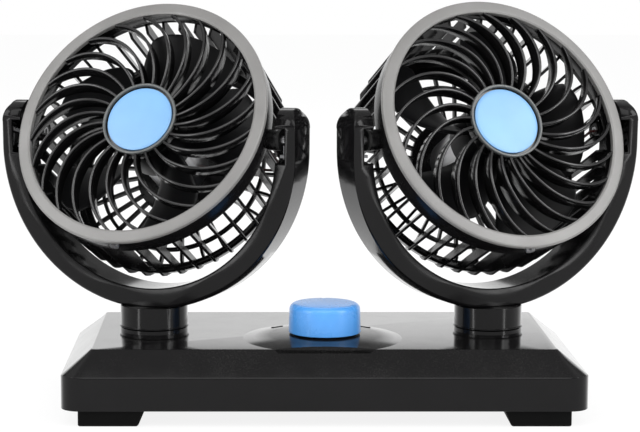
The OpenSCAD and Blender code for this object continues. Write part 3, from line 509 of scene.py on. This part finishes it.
def base_outline(share, z, wall_inset):
    """Level section of the base: upright walls with round corners, cut in by a share of the slope."""
    half_w, half_d = TOP_W/2 + SIDE_RUN - wall_inset, TOP_D/2 + FRONT_RUN - wall_inset
    corner = BASE_CORNER_R - wall_inset
    loop = []
    anchor = (half_w - CORNER_REACH, half_d - CORNER_REACH)
    for sx, sy in ((1, 1), (-1, 1), (-1, -1), (1, -1)):
        angles = [a/CORNER_STEPS*pi/2 for a in range(CORNER_STEPS + 1)]
        for a in angles if sx*sy > 0 else reversed(angles):
            direction = (cos(a), sin(a))
            reach = min(ray_to_corner(anchor, direction, w, d, r) for w, d, r in (
                (half_w, half_d, corner), (half_w - share*SIDE_RUN, half_d - share*FRONT_RUN, SLOPE_CORNER_R)))
            loop.append((sx*(anchor[0] + reach*direction[0]), sy*(anchor[1] + reach*direction[1]), z))
    return loop


def ray_to_corner(anchor, direction, w, d, r):
    """Distance from a point inside a rounded corner to its outline."""
    flat = min((w - anchor[0])/max(direction[0], 1e-9), (d - anchor[1])/max(direction[1], 1e-9))
    px, py = anchor[0] + flat*direction[0], anchor[1] + flat*direction[1]
    if px <= w - r or py <= d - r:
        return flat
    ax, ay = anchor[0] - (w - r), anchor[1] - (d - r)
    b = ax*direction[0] + ay*direction[1]
    return -b + sqrt(max(b*b - (ax*ax + ay*ay - r*r), 0))


def sliced(shell, point, normal):
    """What is left of a closed shell behind a plane, with the cut closed."""
    shape = bmesh.new()
    for p in shell[0]:
        shape.verts.new(p)
    shape.verts.ensure_lookup_table()
    for face in shell[1]:
        shape.faces.new([shape.verts[i] for i in face])
    geometry = shape.verts[:] + shape.edges[:] + shape.faces[:]
    bmesh.ops.bisect_plane(shape, geom=geometry, dist=1e-5, plane_co=point, plane_no=normal, clear_outer=True)
    bmesh.ops.holes_fill(shape, edges=[e for e in shape.edges if e.is_boundary], sides=0)
    shape.verts.index_update()
    rest = [tuple(v.co) for v in shape.verts], [[v.index for v in f.verts] for f in shape.faces]
    shape.free()
    return rest


base_y = joints["left_swivel"]["pos_m"][1]/MM - POST_BACK
base_place = Matrix.Translation(Vector((0, base_y*MM, 0)))
knob_x, knob_y = joints["knob_turn"]["pos_m"][0]/MM, joints["knob_turn"]["pos_m"][1]/MM - base_y
WALL_TOP_Z = TOP_Z - SLOPE_DROP
run = (SIDE_RUN + FRONT_RUN)/2
outer = eased([(30, FOOT_H, 0), (0, FOOT_H, 0.3), (0, WALL_TOP_Z, 1.4), (run, TOP_Z, 0.9), (30, TOP_Z, 0)], 5)[1:-1]
inner = [(0.87*run, TOP_Z - BASE_WALL), (0, 20.1), (0, FOOT_H)]
walls = sweep([base_outline(x/run, z, BASE_WALL) for x, z in inner] + [base_outline(x/run, z, 0) for x, z in outer])
inlet = turned(lathe([(0, -4), (INLET_R, -4), (INLET_R, 4), (0, 4)], 48),
               Matrix.Translation((0, TOP_D/2 + FRONT_RUN, INLET_Z)) @ Matrix.Rotation(pi/2, 4, "X"))
shells = [carved(walls, inlet)]

dome_rows = [(PEDESTAL_R*k/12, TOP_Z + PEDESTAL_RISE*(1 - (k/12)**2)) for k in range(12, -1, -1)]
dome = lathe([(0, TOP_Z - 1.5), (PEDESTAL_R, TOP_Z - 1.5)] + dome_rows, 160)
well = turned(lathe([(0, 0), (WELL_R, 0), (WELL_R, 6), (0, 6)], 64), Matrix.Translation((knob_x, knob_y, 33.6)))
shells.append(carved(sliced(turned(dome, Matrix.Translation((0, knob_y, 0))), (0, -TOP_D/2, TOP_Z),
                            (0, -SLOPE_DROP, FRONT_RUN)), well))
for side in SIDES:
    x = post_place[side].translation.x/MM
    collar = lathe(eased([(SPIGOT_R + 0.1, COLLAR_LOW_Z, 0), (POST_R, COLLAR_LOW_Z, 0), (POST_R, SEAM_Z, 0.25),
                          (SPIGOT_R + 0.1, SEAM_Z, 0)], 3), 96)
    shells.append(turned(collar, Matrix.Translation((x, POST_BACK, 0))))
tick = plate([(-3, -0.7), (3, -0.7), (3, 0.7), (-3, 0.7)], 31.6, 32.95, 0.2)
knob_middle = Matrix.Translation((0, knob_y, 0))
for angle in (-TICK_ANGLE, TICK_ANGLE):
    shells.append(turned(tick, knob_middle @ about_z(angle) @ Matrix.Translation((0, TICK_R, 0))))
build("base_shell_moulding", shells, base_place, "black_plastic", "root", ["base_shell"], 28)


# Feet, posts and yokes

def foot_rounding(m, a, b):
    """The outline of the sole. m is the edge's middle, a and b are its ends, here and below."""
    return FOOT_ROUND if m.z < 0.1 or (a.z < 0.1) != (b.z < 0.1) else 0


def post_rounding(m, a, b):
    """The outer edges at the seam and above it."""
    return POST_ROUND if SEAM_Z < m.z < 60 and hypot(m.x, m.y) > 12 else 0


def yoke_rounding(m, a, b):
    """Broad along the outside of the U, finer round the tops of the arms and inside, none at the seam."""
    x = abs(m.x)
    if abs(m.y) < 0.05:
        return 0
    if m.z < ARC_Z:
        outside = hypot(x, m.z - ARC_Z) > YOKE_OUTER_R - 0.3
    else:
        outside = x > ARM_CORNER_X and hypot(x - ARM_CORNER_X, max(m.z - ARM_CORNER_Z, 0)) > ARM_CORNER_R - 0.4
    if outside:
        return YOKE_SIDE_ROUND - (YOKE_SIDE_ROUND - YOKE_TOP_ROUND)*min(max((m.z - TAPER_FROM_Z)/TAPER_RUN, 0), 1)
    if abs(m.y) > YOKE_DEPTH/2 - 0.05 and m.z < 132:
        return YOKE_FACE_ROUND
    return YOKE_TOP_ROUND if m.z > 135.5 else 0


for side in SIDES:
    soften(side + "_foot", side + "_foot_block", HERE, foot_rounding)
    soften(side + "_swivel_post", side + "_post_moulding", post_place[side], post_rounding)
    for half in ("front", "back"):
        soften(side + "_yoke_" + half, side + "_yoke_" + half + "_half", post_place[side], yoke_rounding)


# Control knob

side_profile = eased([(0, KNOB_TOP_Z, 0), (KNOB_R - 0.35, KNOB_TOP_Z, KNOB_ROUND), (KNOB_R, KNOB_LOW_Z, 0.35),
                      (KNOB_R - KNOB_WALL, KNOB_LOW_Z, 0.35), (KNOB_R - KNOB_WALL - 0.2, KNOB_TOP_Z - KNOB_WALL, 0.8),
                      (0, KNOB_TOP_Z - KNOB_WALL, 0)], 7)
notch = plate([(-0.8, KNOB_R - 3.6), (0.8, KNOB_R - 3.6), (0.8, KNOB_R + 2), (-0.8, KNOB_R + 2)], 46.7, 50, 0.05)
stem = lathe(eased([(3, 37, 0), (5.2, 37, 0.2), (5.2, 46.3, 0), (3, 46.3, 0)], 2), 48)
knob_axis = Matrix.Translation((*joints["knob_turn"]["pos_m"][:2], 0))
build("control_knob", [carved(lathe(side_profile, 160), notch), stem], knob_axis, "blue_plastic", "knob", ["knob"])


# Front of each head

def bar(first_angle):
    """One curved bar, bending counter-clockwise outwards, with an arched and rounded front edge."""
    middle_r, sections = (HUB_R + RING_INNER_R)/2 - 2.5, []
    stations = [HUB_R - 0.05 + (RING_INNER_R - HUB_R + 0.1)*k/20 for k in range(21)] + [53, 53.3]
    for r in stations:
        bend = acos((r*r + BAR_CURVE_OFFSET**2 - BAR_CURVE_R**2)/(2*r*BAR_CURVE_OFFSET))
        a, c = radians(first_angle) - bend, radians(first_angle)
        x, y = r*cos(a), r*sin(a)
        nx, ny = (x - BAR_CURVE_OFFSET*cos(c))/BAR_CURVE_R, (y - BAR_CURVE_OFFSET*sin(c))/BAR_CURVE_R
        top = BAR_CREST - BAR_ARCH_R + sqrt(BAR_ARCH_R**2 - (r - middle_r)**2)
        if r > RING_INNER_R + 0.06:
            top = RING_BACK - 0.3
        half = BAR_T/2
        outline = [(-half, BAR_BACK + 0.15), (-half + 0.15, BAR_BACK), (half - 0.15, BAR_BACK), (half, BAR_BACK + 0.15),
                   (half, top - 0.45), (half - 0.12, top - 0.18), (half - 0.36, top), (-half + 0.36, top),
                   (-half + 0.12, top - 0.18), (-half, top - 0.45)]
        sections.append([(x + w*nx, y + w*ny, z) for w, z in outline])
    return sweep(sections)


def rect(r_in, r_out, low, high, ease):
    """Outline of a plain ring, with all four corners rounded."""
    return eased([(r_in, low, ease), (r_out, low, ease), (r_out, high, ease), (r_in, high, ease)], 3)


for side in SIDES:
    place, body = head_place[side], side + "_head"
    top = RING_BACK + RING_H
    ring = eased([(RING_INNER_R, RING_BACK, 0.1), (RING_OUTER_R, RING_BACK, 0.3), (RING_OUTER_R, top - 0.55, 0.5),
                  (RING_OUTER_R - 0.7, top - 0.3, 0.5), (RING_INNER_R + 0.9, top, 0.6),
                  (RING_INNER_R, top - 0.35, 0.3)], 4)
    build(side + "_trim_ring_satin", [lathe(ring, 256)], place, "ring_grey", body, [side + "_trim_ring"], 40)

    grille = [bar(BAR_PHASE + i*360/BARS) for i in range(BARS)]
    skirt = eased([(SKIRT_R - CAGE_WALL, SKIRT_BACK, 0.3), (SKIRT_R, SKIRT_BACK, 0.3), (SKIRT_R, STEP_BACK, 0),
                   (CAGE_R, STEP_BACK, 0.15), (CAGE_R, RING_BACK, 0), (SKIRT_R - CAGE_WALL, RING_BACK, 0)], 3)
    cup = eased([(0, HUB_FACE - 1.6, 0), (HUB_R - 1.6, HUB_FACE - 1.6, 0.3), (HUB_R - 1.6, BAR_BACK - 0.6, 0.2),
                 (HUB_R, BAR_BACK - 0.6, 0.3), (HUB_R, HUB_FACE, 0), (0, HUB_FACE, 0)], 3)
    grille += [lathe(skirt, 256), lathe(cup, 128)]
    build(side + "_curved_bars", grille, place, "grille_black", body, [side + "_front_grille"], 50)

    rim = rect(HUB_R - HUB_RIM_W, HUB_R, HUB_FACE, HUB_RIM_TOP, 0.42)
    build(side + "_hub_rim_band", [lathe(rim, 160)], place, "rim_grey", body, [side + "_hub_rim"], 50)
    cap_rows = [(HUB_CAP_R*(1 - k/10), CAP_EDGE + CAP_RISE*(1 - (1 - k/10)**2)) for k in range(1, 11)]
    cap = [(0, HUB_FACE), (HUB_CAP_R - 0.1, HUB_FACE), (HUB_CAP_R, HUB_FACE + 0.1), (HUB_CAP_R, CAP_EDGE - 0.25),
           (HUB_CAP_R - 0.08, CAP_EDGE - 0.06), (HUB_CAP_R - 0.3, CAP_EDGE + 0.02)] + cap_rows
    build(side + "_hub_cap_disc", [lathe(cap, 128)], place, "cap_blue", body, [side + "_hub_cap"], 40)


# Back of each head

def rib(corners):
    """Rib in the plane through the fan's axis, from corners of (radius, height, rounding)."""
    return turned(plate(eased(corners, 4), -RIB_T/2, RIB_T/2, 0.28), Matrix.Rotation(pi/2, 4, "X"))


side_rib = rib([
    (RIB_INNER_R, BAND_BACK - 1, 0), (RIB_INNER_R, -SHOULDER - 1.5, 3), (RIB_INNER_R - 0.6, 5.4 - BACK_DEPTH, 2),
    (EDGE_R - 5.1, 3.4 - BACK_DEPTH, 0), (EDGE_R - 5.1, 0.6 - BACK_DEPTH, 0), (EDGE_R - 2.8, 2.4 - BACK_DEPTH, 3),
    (EDGE_R, -SHOULDER - 3.4, 3), (CAGE_BACK_R, -SHOULDER, 3.5), (CAGE_R, BAND_BACK + 1, 0),
    (CAGE_R - CAGE_WALL, BAND_BACK + 1, 0)])
back_rib = rib([
    (PLATE_R - 1, 0.3 - BACK_DEPTH, 0), (WINDOW_R + 0.8, 0.3 - BACK_DEPTH, 0), (WINDOW_R + 0.8, 1.8 - BACK_DEPTH, 0),
    (WINDOW_R - 1, 3 - BACK_DEPTH, 0), (PLATE_R - 1, 3 - BACK_DEPTH, 0)])
shoulder_ring = lathe(eased([
    (EDGE_R, 2.4 - SHOULDER, 0.3), (EDGE_R, -SHOULDER, 3), (EDGE_R - 1.5, -SHOULDER - 4.3, 3),
    (EDGE_R - 4.2, 2.2 - BACK_DEPTH, 3), (WINDOW_R, -BACK_DEPTH, 0.6), (WINDOW_R, 2.2 - BACK_DEPTH, 0.5),
    (EDGE_R - 5.5, 3.7 - BACK_DEPTH, 2), (EDGE_R - 3.3, -SHOULDER - 3.4, 3), (EDGE_R - CAGE_WALL, 0.4 - SHOULDER, 1),
    (EDGE_R - CAGE_WALL, 2.4 - SHOULDER, 0.3)], 4), 256)
low = -BACK_DEPTH
screw_wells = [turned(lathe([(0, low - 1), (r, low - 1), (r, low + deep), (0, low + deep)], 40),
                      Matrix.Translation((0, y, 0)))
               for y in (-MOTOR_SCREW_Y, MOTOR_SCREW_Y) for r, deep in ((2.1, 1.3), (1.2, 5))]
motor_disc = eased([(0, low, 0), (PLATE_R, low, 0.6), (PLATE_R, low + MOTOR_PLATE_T, 0.3),
                    (0, low + MOTOR_PLATE_T, 0)], 4)
motor_plate = carved(lathe(motor_disc, 96), *screw_wells)
for side in SIDES:
    shells = [turned(side_rib, about_z(RIB_PHASE[side] + i*360/RIBS)) for i in range(RIBS)]
    shells += [turned(back_rib, about_z(i*360/BACK_RIBS)) for i in range(BACK_RIBS)]
    shells += [lathe(rect(CAGE_R - CAGE_WALL, CAGE_R, BAND_BACK, STEP_BACK, 0.3), 256), shoulder_ring,
               lathe(rect(HOOP_R - HOOP_W, HOOP_R, low + 0.5, low + 2.5, 0.3), 144), motor_plate]
    for sign in (-1, 1):
        boss = lathe(rect(PIN_R, BOSS_R, BOSS_START, BOSS_END, 0.2), 48)
        shells.append(turned(boss, Matrix.Rotation(sign*pi/2, 4, "Y")))
    build(side + "_rear_housing_cage", shells, head_place[side], "housing_black", side + "_head",
          [side + "_rear_housing"])


# Impellers

def blade(first_angle):
    """One blade: a bent strip that turns from its back edge to its front edge, with round corners at the tip."""
    rows, columns, corner, root_r = 16, 14, BLADE_TIP_ROUND, ROTOR_R - 0.8

    def middle(r, share):
        a = radians(first_angle + BLADE_TURN*(0.5 - share) + BLADE_LEAN) + asin(r/(2*BLADE_BEND_R))
        return Vector((r*cos(a), -r*sin(a), BLADE_BACK + BLADE_L*share))

    front, rear = [], []
    for i in range(rows + 1):
        r = root_r + (TIP_R - root_r)*sin(pi/2*i/rows)
        over = max(0, r - (TIP_R - corner))
        trim = (corner - sqrt(max(corner**2 - over**2, 0)))/BLADE_L
        for j in range(columns + 1):
            share = trim + (1 - 2*trim)*(1 - cos(pi*j/columns))/2
            point = middle(r, share)
            normal = (middle(r + 0.1, share) - point).cross(middle(r, share + 0.005) - point).normalized()
            edge = min(1, 4*j/columns, 4*(columns - j)/columns)
            half = (1.05 - 0.35*i/rows)*(0.35 + 0.65*sin(pi/2*edge))
            front.append(tuple(point + normal*half))
            rear.append(tuple(point - normal*half))
    size, count = columns + 1, len(front)
    faces = []
    for i in range(rows):
        for j in range(columns):
            quad = [i*size + j, i*size + j + 1, (i + 1)*size + j + 1, (i + 1)*size + j]
            faces += [quad, [count + k for k in reversed(quad)]]
    border = [j for j in range(size)] + [i*size + columns for i in range(1, rows + 1)]
    border += [rows*size + j for j in range(columns - 1, -1, -1)] + [i*size for i in range(rows - 1, 0, -1)]
    faces += [[border[k - 1], border[k], count + border[k], count + border[k - 1]] for k in range(len(border))]
    return front + rear, faces


for side in SIDES:
    shells = [blade(BLADE_PHASE + i*360/BLADES) for i in range(BLADES)]
    rotor = eased([(ROTOR_R - 1.5, -10, 0.2), (ROTOR_R, -10, 0.3), (ROTOR_R, 8, 1.6), (0, 8, 0), (0, 6.5, 0),
                   (ROTOR_R - 1.5, 6.5, 0.6)], 4)
    shaft_sleeve = [(1.05, -2.2), (3.5, -2.2), (3.5, 7.2), (1.05, 7.2)]
    shells += [lathe(rotor, 96), lathe(shaft_sleeve, 40)]
    build(side + "_impeller_moulding", shells, head_place[side], "impeller_black", side + "_impeller",
          [side + "_impeller"], 45)


# Parts that keep the solid's shape

slot_of = {s["node"]: s["material_slot"] for s in frame["record"]["subparts"]}
for name, node in frame["nodes"].items():
    if not node.hide_render:
        node.data.materials.clear()
        node.data.materials.append(finishes[slot_of[name]])


# Floor, backdrop and lights

FLOOR_GLOW = 0.86


def floor_material():
    """Pale paper that takes shadows, brightened where a camera, mirror or clear ray meets it."""
    material = bpy.data.materials.new("floor_white")
    material.use_nodes = True
    material.node_tree.nodes.clear()
    t = Tree(material.node_tree)
    paper = t.add("BsdfDiffuse", {"Color": (0.9, 0.9, 0.9, 1)})
    glow = t.add("Emission", {"Color": (1, 1, 1, 1), "Strength": 1.0})
    camera_ray = t.add("LightPath", out="Is Camera Ray")
    mirrored = t.add("LightPath", out="Is Glossy Ray")
    through = t.add("LightPath", out="Is Transmission Ray")
    seen = t.math("ADD", t.math("ADD", camera_ray, mirrored, clamp=True), through, clamp=True)
    surface = t.add("MixShader", {0: t.math("MULTIPLY", seen, FLOOR_GLOW), 1: paper, 2: glow})
    t.add("OutputMaterial", {"Surface": surface})
    return material


half_floor = 4.0
floor_mesh = bpy.data.meshes.new("floor")
steps = range(-4, 5)
floor_mesh.from_pydata([(x*half_floor/4, y*half_floor/4, 0) for y in steps for x in steps], [],
                       [[r*9 + c, r*9 + c + 1, r*9 + c + 10, r*9 + c + 9] for r in range(8) for c in range(8)])
floor_mesh.materials.append(floor_material())
floor = bpy.data.objects.new("floor", floor_mesh)
scene.collection.objects.link(floor)

world = bpy.data.worlds.new("studio")
scene.world = world
world.use_nodes = True
world.node_tree.nodes.clear()
t = Tree(world.node_tree)
height = t.add("SeparateXYZ", {0: t.add("TexCoord", out="Generated")}, out="Z")
AMBIENT = 0.95
# What mirrors see of the room: bright up to 15.5 degrees, dark above 17.5, and lighter again from 24 to 48.
low_band = t.ramp(height, sin(radians(15.5)), sin(radians(17.5)), 1.0, 0.10)
high_glow = t.ramp(height, sin(radians(24)), sin(radians(48)), 0.0, 0.6)
horizon = t.math("ADD", low_band, high_glow)
camera_ray, mirrored = t.add("LightPath", out="Is Camera Ray"), t.add("LightPath", out="Is Glossy Ray")
through = t.add("LightPath", out="Is Transmission Ray")
plain = t.math("MULTIPLY", t.math("SUBTRACT", 1.0, mirrored), AMBIENT)
level = t.math("ADD", t.math("MULTIPLY", mirrored, horizon), plain)
level = t.math("MAXIMUM", level, t.math("MAXIMUM", camera_ray, through))
t.add("OutputWorld", {"Surface": t.add("Background", {"Color": (1, 1, 1, 1), "Strength": level})})

LAMPS = [("front_softbox", (-0.1, -1.15, 1.3), (1.5, 1.0), 11.0),
         ("left_strip", (-1.0, -0.75, 0.3), (0.12, 0.9), 2.4), ("right_strip", (1.0, -0.75, 0.3), (0.12, 0.9), 2.4),
         ("right_softbox", (1.15, -0.55, 0.95), (0.6, 0.7), 8.0),
         ("left_softbox", (-1.1, -0.45, 0.9), (0.6, 0.7), 5.0), ("back_softbox", (0.0, 1.2, 1.2), (1.2, 0.5), 3.0)]
aim = Vector((0, 0, 0.09))
for name, spot, (width, depth), watts in LAMPS:
    data = bpy.data.lights.new(name, "AREA")
    data.shape, data.size, data.size_y, data.energy = "RECTANGLE", width, depth, watts
    lamp = bpy.data.objects.new(name, data)
    scene.collection.objects.link(lamp)
    lamp.location = spot
    lamp.rotation_euler = (aim - Vector(spot)).to_track_quat("-Z", "Y").to_euler()
    lamp.visible_camera = False
